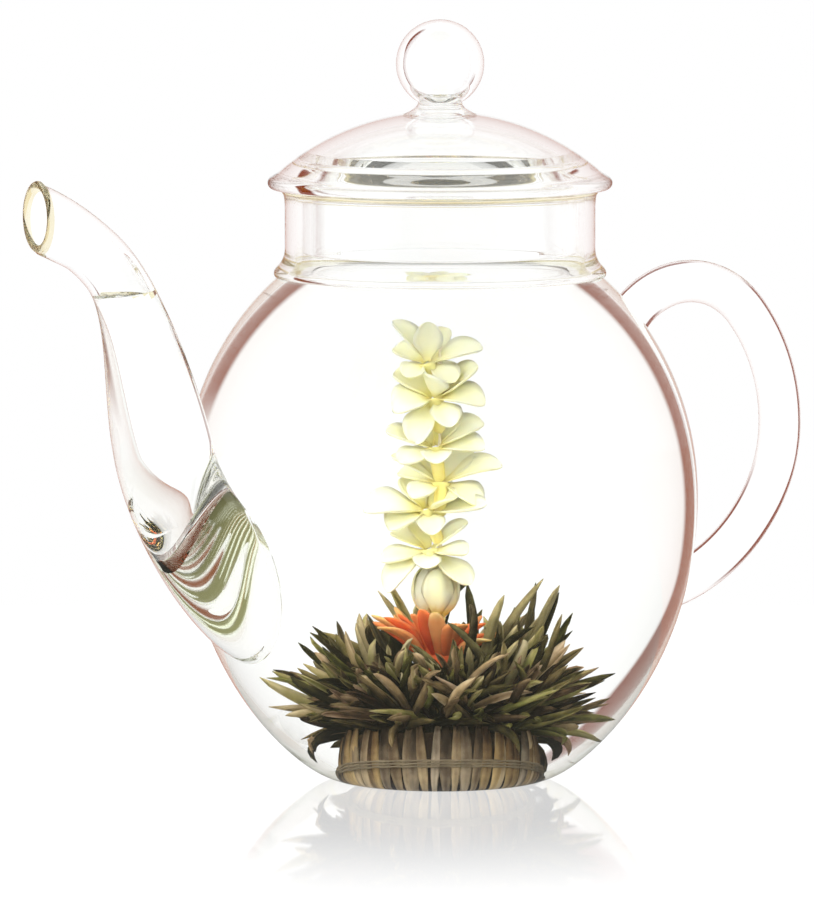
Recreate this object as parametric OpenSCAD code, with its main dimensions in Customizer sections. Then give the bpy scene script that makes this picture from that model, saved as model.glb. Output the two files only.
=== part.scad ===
// Clear glass teapot with a lift-off domed lid, holding one opened flowering tea.
// Millimetres. Z is up, the pot stands on Z = 0, and the origin is on the pot's own axis.
// The spout points along -X and the handle stands out along +X.

/* [Pot] */
// Widest outer diameter of the globe
globe_d = 103.2; // [100:0.2:106]
// Height of the globe's widest level
globe_mid_z = 57; // [55:0.5:58]
// Thickness of the blown glass wall
wall = 2; // [1.6:0.1:2.2]
// Radius of the flat patch that the pot stands on
foot_r = 19; // [16:0.5:20]
// Outer diameter of the neck
neck_d = 62; // [60:0.5:63]
// Height of the neck's flat rim
neck_top_z = 118.5; // [116:0.5:120]

/* [Lid] */
// Largest diameter of the lid's rounded edge
lid_d = 68.8; // [66:0.2:70]
// Height that the dome rises above its seat
dome_rise = 15.5; // [13:0.5:18]
// Outer diameter of the collar that hangs in the neck
collar_d = 54.6; // [52:0.2:56]
// Depth of the collar below the seat
collar_depth = 13; // [8:0.5:14]
// Diameter of the hollow ball knob
knob_d = 17.6; // [15:0.2:19]
// Height of the knob's centre above the dome's top
knob_rise = 9.5; // [9:0.1:11]

/* [Spout] */
// Thickness of the spout's glass
spout_wall = 1.6; // [1.2:0.1:1.8]
// Outer radius where the spout leaves its bell
spout_root_r = 9.8; // [9:0.1:10.2]
// Outer radius of the spout's upper run
spout_tip_r = 5.7; // [5:0.1:6.2]
// Half height of the upright mouth
mouth_half_h = 7; // [6:0.1:7.5]
// Half width of the oval where the bell meets the globe
bell_half_w = 17.5; // [15:0.5:18.5]
// Half height of that oval
bell_half_h = 17.5; // [16:0.5:18]
// Height of the oval's centre
bell_z = 43.5; // [42:0.5:45]

/* [Handle] */
// Diameter of the handle's solid glass rod
handle_d = 8.6; // [8:0.1:9]

/* [Flowering tea] */
// Diameter of the tied base
bundle_d = 33.5; // [30:0.5:34]
// Height of the tied base
bundle_h = 14; // [12:0.5:15]
// Largest radius of the opened leaves
leaf_r = 27; // [24:0.5:27.5]
// Height of the lowest jasmine blossom
garland_z = 42; // [41:0.5:43]
// Spacing of the jasmine blossoms up the thread
garland_step = 6.5; // [6.3:0.1:6.6]
// Diameter of the thread
thread_d = 0.8; // [0.6:0.1:1]

/* [Hidden] */
$fn = 64;
profile_steps = 22; // straight steps along each long glass profile
ring_sides = 32; // corners in each ring of the spout
globe_a = globe_d / 2;
semi_up = globe_mid_z - 0.4; // half height of the upper half's ellipse
semi_down = globe_mid_z + 6.3; // half height of the lower half's ellipse, cut off by the base
heel_z = 9; // where the heel's curve meets the ellipse
shoulder_z = 101; // where the globe ends and the neck piece begins
neck_r = neck_d / 2;
foot_flare = 2.2; // how far the neck piece's foot stands out
rim_flare = 0.5;
floor_z = wall + 0.2; // inner floor of the globe
shoulder_wall = 2.2; // width of the wall's edge where the globe meets the neck piece
lid_edge_r = 1.3; // roundness of the lid's edge
dome_top_z = neck_top_z + dome_rise;
dome_edge = lid_d / 2 - lid_edge_r;
dome_edge_z = neck_top_z + 2 * lid_edge_r;
dome_drop = dome_top_z - dome_edge_z;
dome_r = (dome_edge * dome_edge + dome_drop * dome_drop) / (2 * dome_drop);
dome_z = dome_top_z - dome_r;
collar_r = collar_d / 2;
collar_wall = 1.8;
seat_r = collar_r + 2.9; // inner edge of the lid's flat seat
knob_r = knob_d / 2;
knob_z = dome_top_z + knob_rise;
knob_wall = 1.5;
knob_neck_r = 4.8;
bundle_z = floor_z + 0.3; // the tea rests a hair above the glass floor
bundle_top = bundle_z + bundle_h;
leaf_skin = 2; // thickness of a crown of leaves
leaf_root_r = 3; // radius of the hole in each crown's middle
leaf_step = 2.4; // height from one crown's root to the next
outer_crown_top = 30;
middle_crown_top = 38;
inner_crown_top = 43;
middle_crown_in = 5; // how much narrower the middle crown is than the outer one
inner_crown_in = 11;
petals_top = 39;
petals_r = 12;
petals_skin = 1.6;
petals_root_r = 4.2;
heart_h = 17;
thread_end = 4; // how deep the garland's thread goes into the base
shared = 0.001; // bite that makes two resting pieces share a face
jasmine_count = 7;

// How wide each blossom opens and how it leans, from the lowest: radius, lean, lean direction and shift.
blossoms = [
    [6.0, 8, 200, 0.6],
    [9.0, 10, 330, 1.8],
    [9.5, 8, 190, 2.2],
    [8.5, 10, 20, 1.6],
    [8.5, 10, 250, 1.2],
    [8.0, 10, 60, 1.4],
    [7.5, 8, 160, 0.8],
];

// ---- curves ----

// Outer radius of the globe's ellipse at height z
function globe_r(z) = globe_a * sqrt(1 - pow((z - globe_mid_z) / (z > globe_mid_z ? semi_up : semi_down), 2));

// Slope of that radius with height
function globe_slope(z) = -pow(globe_a / (z > globe_mid_z ? semi_up : semi_down), 2)
    * (z - globe_mid_z) / globe_r(z);

// Outward unit normal of the globe's profile at height z
function globe_normal(z) = [1, -globe_slope(z)] / norm([1, -globe_slope(z)]);

function bezier2(a, b, c, t) = (1 - t) * (1 - t) * a + 2 * t * (1 - t) * b + t * t * c;
function bezier3(a, b, c, d, t) = pow(1 - t, 3) * a + 3 * t * pow(1 - t, 2) * b
    + 3 * t * t * (1 - t) * c + pow(t, 3) * d;
function smooth(t) = t * t * (3 - 2 * t);

// The heel: a curve from the flat foot to the ellipse, tangent to both
heel_corner = globe_r(heel_z) - heel_z * globe_slope(heel_z);
function heel_point(t) = bezier2([foot_r, 0], [heel_corner, 0], [globe_r(heel_z), heel_z], t);

// Globe heights spaced evenly in angle, so that the steps are shorter where it curves more
function globe_height(t) = globe_mid_z
    + (t < 0.5 ? -semi_down * sin((1 - 2 * t) * asin((globe_mid_z - heel_z) / semi_down))
        : semi_up * sin((2 * t - 1) * asin((shoulder_z - globe_mid_z) / semi_up)));

globe_outer = concat([for (i = [0:5]) heel_point(i / 5)],
    [for (i = [1:profile_steps]) let (z = globe_height(i / profile_steps)) [globe_r(z), z]]);

// The inner profile follows the outer one at the wall's thickness
globe_inner = concat([[0, floor_z], [foot_r - 1, floor_z]],
    [for (i = [3:5]) heel_point(i / 5) + [-0.75, 0.75] * wall],
    [for (i = [1:profile_steps - 1]) let (z = globe_height(i / profile_steps), n = globe_normal(z))
        [globe_r(z), z] - wall * n],
    [[globe_r(shoulder_z) - shoulder_wall, shoulder_z]]);

// Height of the dome's outer skin at radius r, and of its underside
function dome_outer_z(r) = dome_z + sqrt(dome_r * dome_r - r * r);
function dome_inner_z(r) = dome_z + sqrt(pow(dome_r - wall, 2) - r * r);

// ---- pot ----

module globe_solid() {
    rotate_extrude() polygon(concat([[0, 0]], globe_outer, [[0, shoulder_z]]));
}

module pot_globe() {
    color([0.86, 0.9, 0.9, 0.35])
    difference() {
        rotate_extrude()
        polygon(concat([[0, 0]], globe_outer, [for (i = [len(globe_inner) - 1:-1:0]) globe_inner[i]]));
        // The pouring hole, as wide as the inside of the spout's bell
        translate([-globe_a - 1, 0, 0]) rotate([90, 0, 90])
        linear_extrude(height = 20)
        polygon([for (i = [0:ring_sides - 1]) let (a = 360 * i / ring_sides)
            [bell_y(a, spout_wall), bell_height(a, spout_wall)]]);
    }
}

module neck_collar() {
    inner_r = neck_r - wall;
    foot_in = globe_r(shoulder_z) - shoulder_wall;
    color([0.86, 0.9, 0.9, 0.35])
    rotate_extrude()
    polygon(concat(
        [[foot_in, shoulder_z], [neck_r + foot_flare - 0.6, shoulder_z]],
        [for (i = [0:6]) bezier3([neck_r + foot_flare, shoulder_z + 0.6], [neck_r + foot_flare, 103.2],
            [neck_r, 103.4], [neck_r, 107], i / 6)],
        [for (i = [0:4]) bezier2([neck_r, neck_top_z - 4], [neck_r, neck_top_z - 1],
            [neck_r + rim_flare, neck_top_z - 0.5], i / 4)],
        [[neck_r + rim_flare, neck_top_z - 0.3], [neck_r + rim_flare - 0.3, neck_top_z],
            [inner_r + 0.4, neck_top_z], [inner_r, neck_top_z - 0.4]],
        [for (i = [0:4]) bezier2([inner_r, 107.5], [inner_r, 103.5], [foot_in, shoulder_z], i / 5)]));
}

// ---- spout ----
// Each ring's angle runs from 0 at the side nearest the pot, or the mouth's top, round to 180 opposite.

// Centre line of the tube in the XZ plane, from the bell's top to the mouth, in two joined curves
tube_joint = 0.52; // where the first curve hands over to the second
function tube_centre(t) = t < tube_joint
    ? bezier3([-63, 67.5], [-66, 79.5], [-67.8, 91.5], [-72.2, 100.5], t / tube_joint)
    : bezier3([-72.2, 100.5], [-76, 108.2], [-83.5, 112.6], [-91.6, 116],
        (t - tube_joint) / (1 - tube_joint));
function tube_along(t) = let (d = tube_centre(min(1, t + 0.01)) - tube_centre(max(0, t - 0.01))) d / norm(d);
function tube_r(t) = spout_tip_r + (spout_root_r - spout_tip_r) * (1 - smooth(min(1, t / 0.62)));

// A ring stands square to the tube, and turns upright at the mouth
mouth_turn = 0.75; // where the rings begin to turn
function upright(t) = t < mouth_turn ? 0 : smooth((t - mouth_turn) / (1 - mouth_turn));
function tube_side(t) = let (d = tube_along(t), u = upright(t), n = [d[1], -d[0]] * (1 - u) + [0, 1] * u)
    n / norm(n);
function tube_half(t) = tube_r(t) + (mouth_half_h - spout_tip_r) * upright(t);
function tube_point(t, a, inset) = let (c = tube_centre(t), n = tube_side(t))
    [c[0] + n[0] * (tube_half(t) - inset) * cos(a), (tube_r(t) - inset) * sin(a),
        c[1] + n[1] * (tube_half(t) - inset) * cos(a)];

// The bell's foot is an oval drawn on the globe
function bell_y(a, inset) = (bell_half_w - 1.2 * inset) * sin(a);
function bell_height(a, inset) = bell_z + (bell_half_h - 1.2 * inset) * cos(a);
function bell_foot(a, inset) = let (y = bell_y(a, inset), z = bell_height(a, inset))
    [-sqrt(pow(globe_r(z), 2) - y * y), y, z];

// The bell runs from the tube's first ring down to that oval, further on its low side
function bell_point(t, a, inset) = let (
    top = tube_point(0, a, inset), along = tube_along(0), foot = bell_foot(a, inset), low = (1 - cos(a)) / 2)
    bezier3(top, top - [along[0], 0, along[1]] * (2.5 + 13 * low),
        foot + [-0.8 - 9 * low + 0.6 * inset, -0.1 * foot[1], 2.5 + 2.5 * low], foot, t);

// Joins each ring of points to the next one, and the last to the first
function ring_joins(count, sides, closed) = [for (i = [0:count - (closed ? 1 : 2)]) for (k = [0:sides - 1])
    let (a = i * sides, b = ((i + 1) % count) * sides, next = (k + 1) % sides)
    each [[a + k, b + k, b + next], [a + k, b + next, a + next]]];

module spout() {
    tube_rings = 15;
    bell_rings = 8;
    function path(inset) = concat(
        [for (i = [0:tube_rings]) [for (k = [0:ring_sides - 1])
            tube_point(1 - i / tube_rings, 360 * k / ring_sides, inset)]],
        [for (i = [1:bell_rings]) [for (k = [0:ring_sides - 1])
            bell_point(i / bell_rings, 360 * k / ring_sides, inset)]]);
    rings = concat(path(0), [for (i = [tube_rings + bell_rings:-1:0]) path(spout_wall)[i]]);
    color([0.86, 0.9, 0.9, 0.35])
    polyhedron(points = [for (ring = rings) for (p = ring) p],
        faces = ring_joins(len(rings), ring_sides, true));
}

// ---- handle ----
// Four arcs that run into each other, from the low end to the high one.
// Each is a centre's X and Z, a radius, its first and last angle, and its number of steps.
handle_arcs = [
    [44.5, 71.95, 38, -78, -27, 6],
    [52.5, 67.9, 29, -27, 0, 3],
    [45.2, 67.9, 36.3, 0, 40, 4],
    [59, 79.5, 18.3, 40, 135, 10],
];
handle_sides = 24;
end_spread = 1.12; // how much wider the rod is where it is fused on
handle_r = handle_d / 2;

// Stations along the rod: centre X, centre Z and the arc's angle there
handle_stations = concat([handle_station(handle_arcs[0], 0)],
    [for (arc = handle_arcs) for (i = [1:arc[5]]) handle_station(arc, i)]);
function handle_station(arc, i) = let (a = arc[3] + (arc[4] - arc[3]) * i / arc[5])
    [arc[0] + arc[2] * cos(a), arc[1] + arc[2] * sin(a), a];
function handle_ring(s, r) = [for (k = [0:handle_sides - 1]) let (b = 360 * k / handle_sides)
    [s[0] + r * cos(b) * cos(s[2]), r * sin(b), s[1] + r * cos(b) * sin(s[2])]];

// Where a line from p along u meets the globe's outer skin, found by halving
function reach(p, u, near, far, turns) = let (mid = (near + far) / 2, q = p + u * mid)
    turns == 0 ? q
    : norm([q[0], q[1]]) > globe_r(q[2]) ? reach(p, u, mid, far, turns - 1)
    : reach(p, u, near, mid, turns - 1);
function fused_ring(s, way) = let (u = way * [-sin(s[2]), 0, cos(s[2])])
    [for (p = handle_ring(s, handle_r * end_spread)) reach(p, u, 0, 14, 20)];
function fused_middle(s, way) = reach([s[0], 0, s[1]], way * [-sin(s[2]), 0, cos(s[2])], 0, 14, 20);

module handle() {
    low = handle_stations[0];
    high = handle_stations[len(handle_stations) - 1];
    rings = concat([fused_ring(low, -1)], [for (s = handle_stations) handle_ring(s, handle_r)],
        [fused_ring(high, 1)]);
    corners = len(rings) * handle_sides;
    color([0.86, 0.9, 0.9, 0.35])
    polyhedron(
        points = concat([for (ring = rings) for (p = ring) p],
            [fused_middle(low, -1), fused_middle(high, 1)]),
        faces = concat(ring_joins(len(rings), handle_sides, false),
            [for (k = [0:handle_sides - 1]) [corners, k, (k + 1) % handle_sides]],
            [for (k = [0:handle_sides - 1]) let (a = corners - handle_sides)
                [corners + 1, a + (k + 1) % handle_sides, a + k]]));
}

// ---- lid ----

module lid_dome() {
    edge_mid_z = neck_top_z + lid_edge_r;
    color([0.86, 0.9, 0.9, 0.35])
    rotate_extrude()
    polygon(concat(
        [for (i = [0:10]) let (r = dome_edge * i / 10) [r, dome_outer_z(r)]],
        [for (a = [60:-30:-60]) [dome_edge + lid_edge_r * cos(a), edge_mid_z + lid_edge_r * sin(a)]],
        [[dome_edge, neck_top_z], [seat_r, neck_top_z], [seat_r - 0.9, neck_top_z + 0.6],
            [seat_r - 1.3, neck_top_z + 1.8], [seat_r - 1.5, dome_inner_z(seat_r - 1.5)]],
        [[collar_r, dome_inner_z(collar_r)]],
        [for (i = [9:-1:0]) let (r = (collar_r - collar_wall) * i / 9) [r, dome_inner_z(r)]]));
}

module lid_collar() {
    bottom_z = neck_top_z - collar_depth;
    inner_r = collar_r - collar_wall;
    color([0.86, 0.9, 0.9, 0.35])
    rotate_extrude()
    polygon([[inner_r, bottom_z + 0.6], [inner_r + 0.6, bottom_z], [collar_r - 0.6, bottom_z],
        [collar_r, bottom_z + 0.6], [collar_r, dome_inner_z(collar_r)], [inner_r, dome_inner_z(inner_r)]]);
}

module knob_neck() {
    flare = 2.6; // how far the foot spreads on the dome
    foot = knob_neck_r + flare;
    ball_r = knob_neck_r - 0.4; // radius of the ring where the neck meets the ball
    ball_z = knob_z - sqrt(knob_r * knob_r - ball_r * ball_r);
    color([0.86, 0.9, 0.9, 0.35])
    rotate_extrude()
    polygon(concat(
        [[0, dome_outer_z(0)], [0, knob_z - knob_r]],
        [for (i = [1:4]) let (r = ball_r * i / 4) [r, knob_z - sqrt(knob_r * knob_r - r * r)]],
        [for (i = [1:5]) bezier2([ball_r, ball_z], [knob_neck_r - 0.6, dome_top_z + 0.7],
            [foot, dome_outer_z(foot)], i / 5)],
        [for (i = [3:-1:1]) let (r = dome_edge * i / 10) if (r < foot) [r, dome_outer_z(r)]]));
}

module knob_ball() {
    color([0.86, 0.9, 0.9, 0.35])
    translate([0, 0, knob_z]) difference() {
        sphere(r = knob_r);
        sphere(r = knob_r - knob_wall);
    }
}

// ---- flowering tea ----

// The tied stem ends, as a disc that the whole flower stands on
module bundle_base() {
    color([0.35, 0.3, 0.2])
    difference() {
        translate([0, 0, bundle_z]) cylinder(h = bundle_h, r = bundle_d / 2 - 0.6);
        binding_turns_of_thread();
        translate([0, 0, bundle_top - thread_end]) cylinder(h = thread_end + 1, d = thread_d);
    }
}

// The turns of thread that hold the bundle, sunk into it
binding_turns = 3;
function binding_height(i) = bundle_z + bundle_h * 0.45 + i * thread_d * 1.2;
module binding_turns_of_thread() {
    for (i = [0:binding_turns - 1]) translate([0, 0, binding_height(i)]) rotate_extrude()
    translate([bundle_d / 2 - 0.9, 0]) circle(d = thread_d);
}
module binding_thread() {
    color([0.85, 0.78, 0.6]) binding_turns_of_thread();
}

// One crown of opened leaves, as a thin bowl that widens upward from the tied base
module leaf_bowl(low_z, low_r, high_z, high_r, skin) {
    rotate_extrude()
    polygon(concat(
        [for (i = [0:8]) bezier2([low_r, low_z], [high_r, low_z + 2], [high_r, high_z], i / 8)],
        [for (i = [8:-1:0]) bezier2([low_r, low_z + skin], [high_r - skin, low_z + 2 + skin],
            [high_r - skin, high_z], i / 8)]));
}
module leaf_crown_outer() {
    color([0.33, 0.32, 0.16])
    leaf_bowl(bundle_top - shared, leaf_root_r, outer_crown_top, leaf_r, leaf_skin);
}
module leaf_crown_middle() {
    color([0.38, 0.36, 0.18])
    leaf_bowl(bundle_top + leaf_step, leaf_root_r, middle_crown_top, leaf_r - middle_crown_in, leaf_skin);
}
module leaf_crown_inner() {
    color([0.45, 0.42, 0.2])
    leaf_bowl(bundle_top + 2 * leaf_step, leaf_root_r, inner_crown_top, leaf_r - inner_crown_in, leaf_skin);
}

// The orange flower between the leaves and the jasmine
module flower_petals() {
    color([0.9, 0.45, 0.25])
    leaf_bowl(bundle_top + 3 * leaf_step, petals_root_r, petals_top, petals_r, petals_skin);
}
module flower_heart() {
    color([0.8, 0.5, 0.2])
    difference() {
        translate([0, 0, bundle_top]) cylinder(h = heart_h, r1 = 2.6, r2 = 3.6);
        translate([0, 0, bundle_top - 1]) cylinder(h = heart_h + 2, d = thread_d);
    }
}

module garland_thread() {
    top_z = garland_z + garland_step * (jasmine_count - 1) + 1.5;
    low_z = bundle_top - thread_end;
    color([0.9, 0.88, 0.7])
    translate([0, 0, low_z]) cylinder(h = top_z - low_z, d = thread_d);
}

// One blossom: an open disc of petals on a short tube, leaning to one side, threaded through the middle
module jasmine(i) {
    blossom = blossoms[i];
    petals_h = 3;
    color([0.95, 0.93, 0.75])
    difference() {
        translate([0, 0, garland_z + garland_step * i])
        rotate([0, 0, blossom[2]]) translate([blossom[3], 0, 0]) rotate([0, blossom[1], 0])
        translate([0, 0, -petals_h / 2]) cylinder(h = petals_h, r = blossom[0]);
        translate([0, 0, garland_z - 20]) cylinder(h = 90, d = thread_d);
    }
}

pot_globe();
neck_collar();
spout();
handle();
lid_dome();
lid_collar();
knob_neck();
knob_ball();
bundle_base();
binding_thread();
leaf_crown_outer();
leaf_crown_middle();
leaf_crown_inner();
flower_petals();
flower_heart();
garland_thread();
for (i = [0:jasmine_count - 1]) jasmine(i);
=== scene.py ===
import math
import random

import bmesh
import bpy
from mathutils import Matrix, Vector


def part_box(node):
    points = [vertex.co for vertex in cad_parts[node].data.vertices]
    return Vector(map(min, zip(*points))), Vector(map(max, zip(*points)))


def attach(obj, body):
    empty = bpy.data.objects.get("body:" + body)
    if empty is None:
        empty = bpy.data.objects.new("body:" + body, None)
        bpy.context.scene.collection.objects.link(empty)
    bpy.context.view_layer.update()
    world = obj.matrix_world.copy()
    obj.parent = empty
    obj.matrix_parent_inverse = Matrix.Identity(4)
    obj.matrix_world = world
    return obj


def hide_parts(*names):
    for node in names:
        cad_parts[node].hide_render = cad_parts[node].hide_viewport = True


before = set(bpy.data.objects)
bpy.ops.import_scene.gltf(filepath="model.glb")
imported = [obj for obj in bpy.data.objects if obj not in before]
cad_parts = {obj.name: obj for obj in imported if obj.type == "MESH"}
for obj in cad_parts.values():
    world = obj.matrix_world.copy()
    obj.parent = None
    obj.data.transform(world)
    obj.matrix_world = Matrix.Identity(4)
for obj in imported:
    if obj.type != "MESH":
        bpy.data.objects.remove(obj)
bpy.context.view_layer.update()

# Lengths are in millimetres until a mesh is made, and angles are in radians.
MM = 0.001
TAU = 2 * math.pi
STEPS = 192  # corners round each glass piece


def box_mm(node):
    """Lowest and highest corner of a CAD node, in millimetres."""
    low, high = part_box(node)
    return low / MM, high / MM


# ---- sizes, from the CAD frame ----

globe_high = box_mm("pot_globe")[1]
neck_high = box_mm("neck_collar")[1]
dome_low, dome_high = box_mm("lid_dome")
collar_low, collar_high = box_mm("lid_collar")
knob_low, knob_high = box_mm("knob_ball")
spout_low = box_mm("spout")[0]
bundle_low, bundle_high = box_mm("bundle_base")

WALL = 2.0
SHOULDER_WALL = 2.2  # where the globe ends under the neck
GLOBE_R = globe_high.x
MID_Z = 57.0  # the globe's widest level
SEMI_UP = 56.6
SEMI_DOWN = 63.3
HEEL_Z = 9.0
FOOT_R = 19.0
SHOULDER_Z = globe_high.z
NECK_R = 31.0
FOOT_FLARE = neck_high.x - NECK_R
NECK_TOP = dome_low.z
FLOOR_Z = WALL + 0.2
SPOUT_WALL = 1.6
WELD = 0.15  # how far fused pieces, and the tea, reach into the next piece of glass
SEAT_GAP = 0.15  # air between the neck's rim and the lid
TEA_Z = SHOULDER_Z - 0.4
KNOB_R = (knob_high.z - knob_low.z) / 2
KNOB_WALL = 1.5
KNOB_Z = (knob_high.z + knob_low.z) / 2
DOME_TOP = dome_high.z
EDGE_R = 1.3
DOME_EDGE = dome_high.x - EDGE_R
COLLAR_R = collar_high.x
COLLAR_WALL = 1.8
SEAT_WIDTH = 2.9  # from the collar out to where the dome's flat seat starts
STUB_R = 4.4  # the knob neck, where the ball starts

VIEW_TURN = -31.0  # degrees, the spout's side turned towards the camera
VIEW_RISE = 5.5  # degrees above the horizon
VIEW_DISTANCE = 1600.0
VIEW_LENS = 320.0
VIEW_AIM = Vector((-5.7, 3.3, 66.2))


# ---- curves ----

def mix(a, b, t):
    return a + (b - a) * t


def flat_way(turn):
    return Vector((math.cos(turn), math.sin(turn), 0))


def smooth(t):
    t = max(0.0, min(1.0, t))
    return t * t * (3 - 2 * t)


def bezier(points, t):
    """A point on the Bezier curve through these control points, given as tuples of any length."""
    while len(points) > 1:
        points = [tuple(mix(a, b, t) for a, b in zip(p, q)) for p, q in zip(points, points[1:])]
    return points[0]


def curve(points, steps, first=0):
    """Points along the Bezier curve, from step first to the last step."""
    return [bezier(points, i / steps) for i in range(first, steps + 1)]


def globe_r(z):
    """The globe's outer radius at a height."""
    semi = SEMI_UP if z > MID_Z else SEMI_DOWN
    return GLOBE_R * math.sqrt(1 - ((z - MID_Z) / semi) ** 2)


def globe_slope(z):
    """How fast that radius grows with height."""
    semi = SEMI_UP if z > MID_Z else SEMI_DOWN
    return -((GLOBE_R / semi) ** 2) * (z - MID_Z) / globe_r(z)


def globe_heights(count):
    """Heights from the heel to the shoulder, spaced evenly in angle on each half."""
    low = math.asin((MID_Z - HEEL_Z) / SEMI_DOWN)
    high = math.asin((SHOULDER_Z - MID_Z) / SEMI_UP)
    half = count // 2
    return ([MID_Z - SEMI_DOWN * math.sin(low * (1 - i / half)) for i in range(half)]
            + [MID_Z + SEMI_UP * math.sin(high * i / half) for i in range(half + 1)])


def heel(t):
    """A point of the rounded edge between the flat foot and the side."""
    corner = globe_r(HEEL_Z) - HEEL_Z * globe_slope(HEEL_Z)
    return bezier([(FOOT_R, 0), (corner, 0), (globe_r(HEEL_Z), HEEL_Z)], t)


def globe_profile(inset, steps=72):
    """The globe's profile from the foot's edge to the shoulder, moved inward by inset."""
    points = [heel(i / 14) for i in range(14)] + [(globe_r(z), z) for z in globe_heights(steps)]
    moved = []
    for i, (r, z) in enumerate(points):
        before, after = points[max(0, i - 1)], points[min(len(points) - 1, i + 1)]
        along = Vector((after[0] - before[0], after[1] - before[1])).normalized()
        moved.append((r - along.y * inset, z + along.x * inset))
    return moved


# ---- mesh making ----

def finish_mesh(name, verts, faces, sharp=None):
    """A smooth mesh, with edges sharper than the angle sharp, in degrees, left sharp."""
    mesh = bpy.data.meshes.new(name)
    mesh.from_pydata([Vector(v) * MM for v in verts], [], faces)
    mesh.validate()
    mesh.shade_smooth()
    if sharp:
        mesh.set_sharp_from_angle(angle=math.radians(sharp))
    return mesh


def volume(verts, faces):
    """Six times the enclosed volume, below zero when the faces point inward."""
    total = 0.0
    for face in faces:
        a = Vector(verts[face[0]])
        for b, c in zip(face[1:-1], face[2:]):
            total += a.dot(Vector(verts[b]).cross(Vector(verts[c])))
    return total


def lathe(profile, steps=None):
    """Turns a closed profile of (radius, height), anticlockwise, about the Z axis."""
    steps = steps or STEPS
    verts, faces, rows = [], [], []
    for r, z in profile:
        if r < 1e-6:
            rows.append([len(verts)] * steps)
            verts.append((0, 0, z))
        else:
            rows.append(list(range(len(verts), len(verts) + steps)))
            verts += [(r * math.cos(TAU * k / steps), r * math.sin(TAU * k / steps), z)
                      for k in range(steps)]
    for a, b in zip(rows, rows[1:] + rows[:1]):
        if a[0] == a[1] and b[0] == b[1]:
            continue
        for k in range(steps):
            n = (k + 1) % steps
            corners = [a[k], a[n], b[n], b[k]]
            faces.append([v for i, v in enumerate(corners) if v not in corners[:i]])
    return verts, faces


def skin(rings, closed=False):
    """Joins rings of equal length, and caps the two ends unless the last ring meets the first."""
    count = len(rings[0])
    verts = [p for ring in rings for p in ring]
    faces = []
    pairs = len(rings) if closed else len(rings) - 1
    for i in range(pairs):
        a, b = i * count, ((i + 1) % len(rings)) * count
        faces += [[a + k, b + k, b + (k + 1) % count, a + (k + 1) % count] for k in range(count)]
    if not closed:
        for start, ring in ((0, rings[0]), ((len(rings) - 1) * count, rings[-1])):
            middle = len(verts)
            verts.append(tuple(sum(p[i] for p in ring) / count for i in range(3)))
            turn = [[middle, start + k, start + (k + 1) % count] for k in range(count)]
            faces += turn if start == 0 else [f[::-1] for f in turn]
    if volume(verts, faces) < 0:
        faces = [f[::-1] for f in faces]
    return verts, faces


def joined(parts):
    """Several (verts, faces) as one."""
    verts, faces = [], []
    for more_verts, more_faces in parts:
        start = len(verts)
        verts += more_verts
        faces += [[v + start for v in f] for f in more_faces]
    return verts, faces


def new_object(name, data):
    made = bpy.data.objects.new(name, data)
    bpy.context.scene.collection.objects.link(made)
    return made


def piece(name, body, mesh, material, nodes=()):
    """Adds a visible piece: its body and the CAD nodes that it stands for."""
    made = new_object(name, mesh)
    mesh.materials.append(material)
    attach(made, body)
    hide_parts(*nodes)
    return made


def store(mesh, name, values):
    """A number for each vertex, which materials read by this name."""
    layer = mesh.attributes.new(name, "FLOAT", "POINT")
    layer.data.foreach_set("value", values)


def plant_piece(name, parts, tones, material, nodes, kinds=None):
    """A piece of the flowering tea from its parts, with the tones that its material reads."""
    mesh = finish_mesh(name, *joined(parts))
    store(mesh, "tone", tones)
    if kinds:
        store(mesh, "kind", kinds)
    piece(name, "flowering_tea", mesh, material, nodes)


# ---- materials ----

def new_material(name):
    made = bpy.data.materials.new(name)
    made.use_nodes = True
    nodes, links = made.node_tree.nodes, made.node_tree.links
    return made, nodes, links, nodes["Principled BSDF"]


def add_node(nodes, kind, **values):
    made = nodes.new(kind)
    for key, value in values.items():
        if key in made.inputs:
            made.inputs[key].default_value = value
        else:
            setattr(made, key, value)
    return made


def ramp(nodes, stops):
    made = nodes.new("ShaderNodeValToRGB")
    line = made.color_ramp
    for i, (place, colour) in enumerate(stops):
        stop = line.elements[i] if i < 2 else line.elements.new(place)
        stop.position = place
        stop.color = (*colour, 1)
    return made


def clear_material(name, ior, tint, deeper):
    """A clear solid or liquid, with the faint uneven tint of melted glass or brewed tea, or with a strong
    gold tint that is a painted reflection.
    """
    made, nodes, links, shader = new_material(name)
    shader.inputs["Transmission Weight"].default_value = 1
    shader.inputs["Roughness"].default_value = 0
    shader.inputs["IOR"].default_value = ior
    place = nodes.new("ShaderNodeTexCoord")
    clouds = add_node(nodes, "ShaderNodeTexNoise", Scale=90, Detail=2.0)
    links.new(place.outputs["Object"], clouds.inputs["Vector"])
    colours = ramp(nodes, [(0.3, tint), (0.7, deeper)])
    links.new(clouds.outputs["Fac"], colours.inputs["Fac"])
    links.new(colours.outputs["Color"], shader.inputs["Base Color"])
    return made


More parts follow.
